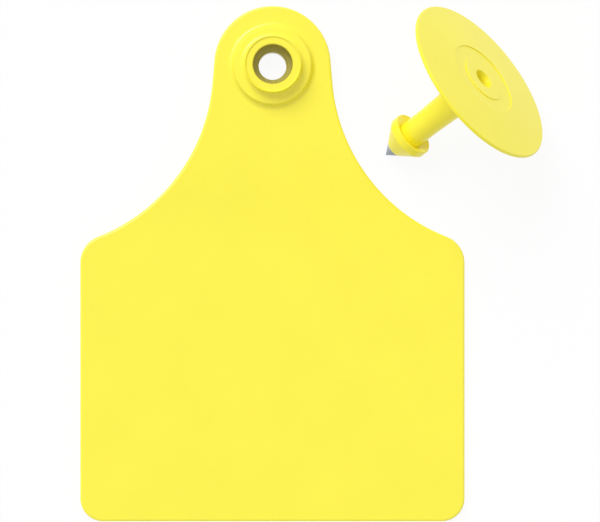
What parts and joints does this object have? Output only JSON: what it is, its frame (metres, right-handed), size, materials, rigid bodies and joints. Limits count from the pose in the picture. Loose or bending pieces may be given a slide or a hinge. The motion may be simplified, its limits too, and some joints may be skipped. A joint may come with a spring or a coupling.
{
  "type": "livestock ear tag",
  "caption": "Livestock ear tag: a bell-shaped flexible panel with a locking collar, and beside it a round button whose hollow barbed stem carries a metal point.",
  "frame": {"origin": "on the stud hole's axis, in the plane of the panel's ear face", "axes": "+Z out of the collar, away from the ear; +Y to the top of the tag; +X to the right of the panel seen from the collar's side"},
  "size_m": [0.0904, 0.1018, 0.029],
  "materials": {
    "panel_plastic": "soft satin yellow polyurethane",
    "ring_plastic": "hard satin plastic, dull olive",
    "button_plastic": "satin yellow polyurethane",
    "tip_metal": "bright plated metal"
  },
  "bodies": {
    "root": {"tag_panel": "panel_plastic", "locking_ring": "ring_plastic", "stud_button": "button_plastic", "metal_tip": "tip_metal"}
  },
  "joints": []
}
